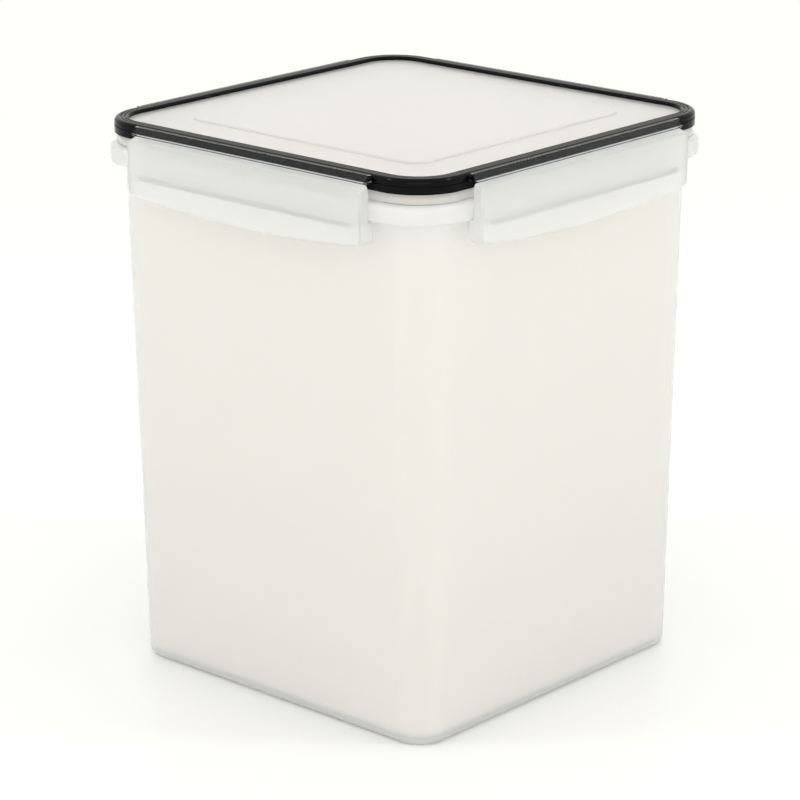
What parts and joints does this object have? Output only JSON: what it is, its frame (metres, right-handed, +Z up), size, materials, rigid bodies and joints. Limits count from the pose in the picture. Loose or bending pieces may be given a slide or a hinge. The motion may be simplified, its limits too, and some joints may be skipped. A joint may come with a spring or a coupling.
{
  "type": "flour container",
  "caption": "Tall square flour container with tapered translucent walls and a clear lid that seals under hinged locking flaps and a black rim ring.",
  "frame": {"origin": "centre of the foot, on the surface that the container stands on", "axes": "+Z up out of the mouth; -Y is the side called front, +X the side called right"},
  "size_m": [0.2142, 0.2142, 0.2594],
  "materials": {
    "natural_polypropylene": "translucent, satin",
    "clear_polypropylene": "clear, slightly milky, glossy",
    "black_polypropylene": "glossy black",
    "silicone": "matte, milky"
  },
  "bodies": {
    "container": {"container_body": "natural_polypropylene"},
    "lid": {"lid_panel": "clear_polypropylene", "rim_ring": "black_polypropylene", "seal_gasket": "silicone", "hinge_strip_front": "clear_polypropylene", "hinge_strip_right": "clear_polypropylene", "hinge_strip_back": "clear_polypropylene", "hinge_strip_left": "clear_polypropylene"},
    "flap_front": {"flap_front": "clear_polypropylene"},
    "flap_right": {"flap_right": "clear_polypropylene"},
    "flap_back": {"flap_back": "clear_polypropylene"},
    "flap_left": {"flap_left": "clear_polypropylene"}
  },
  "joints": [
    {"name": "lid_lift", "type": "slide", "parent": "container", "child": "lid", "axis": [0, 0, 1], "range_m": [0, 0.15]},
    {"name": "flap_front_hinge", "type": "hinge", "parent": "lid", "child": "flap_front", "pos_m": [0, -0.1033, 0.2558], "axis": [-1, 0, 0], "range_deg": [0, 120]},
    {"name": "flap_right_hinge", "type": "hinge", "parent": "lid", "child": "flap_right", "pos_m": [0.1033, 0, 0.2558], "axis": [0, -1, 0], "range_deg": [0, 120]},
    {"name": "flap_back_hinge", "type": "hinge", "parent": "lid", "child": "flap_back", "pos_m": [0, 0.1033, 0.2558], "axis": [1, 0, 0], "range_deg": [0, 120]},
    {"name": "flap_left_hinge", "type": "hinge", "parent": "lid", "child": "flap_left", "pos_m": [-0.1033, 0, 0.2558], "axis": [0, 1, 0], "range_deg": [0, 120]}
  ]
}
